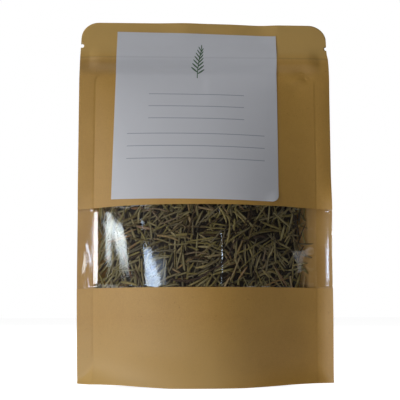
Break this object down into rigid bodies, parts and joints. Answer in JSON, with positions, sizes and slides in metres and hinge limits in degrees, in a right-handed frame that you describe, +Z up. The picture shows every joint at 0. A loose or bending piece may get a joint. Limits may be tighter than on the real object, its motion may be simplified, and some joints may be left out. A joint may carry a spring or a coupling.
{
  "type": "stand-up pouch of dried rosemary leaves",
  "caption": "Kraft paper stand-up pouch with a press-to-close zip, a clear window band and a plain label, filled with dried rosemary leaves.",
  "frame": {"origin": "on the floor under the middle of the pouch's bounding box, at the lowest point of the gusset", "axes": "+Z up from the gusset to the top seal, +X to the right along the pouch's width when the front is seen, and the front with the window and label faces -Y"},
  "size_m": [0.16, 0.0434, 0.23],
  "materials": {
    "kraft_paper": "matte",
    "clear_film": "gloss",
    "zip": "satin",
    "label_paper": "satin",
    "dried_leaf": "matte"
  },
  "bodies": {
    "root": {"back_panel": "kraft_paper", "front_paper_upper": "kraft_paper", "front_paper_lower": "kraft_paper", "bottom_gusset": "kraft_paper", "window_film": "clear_film", "zip_groove_rail": "zip", "zip_rib_rail": "zip", "label": "label_paper", "rosemary_leaves": "dried_leaf"}
  },
  "joints": []
}
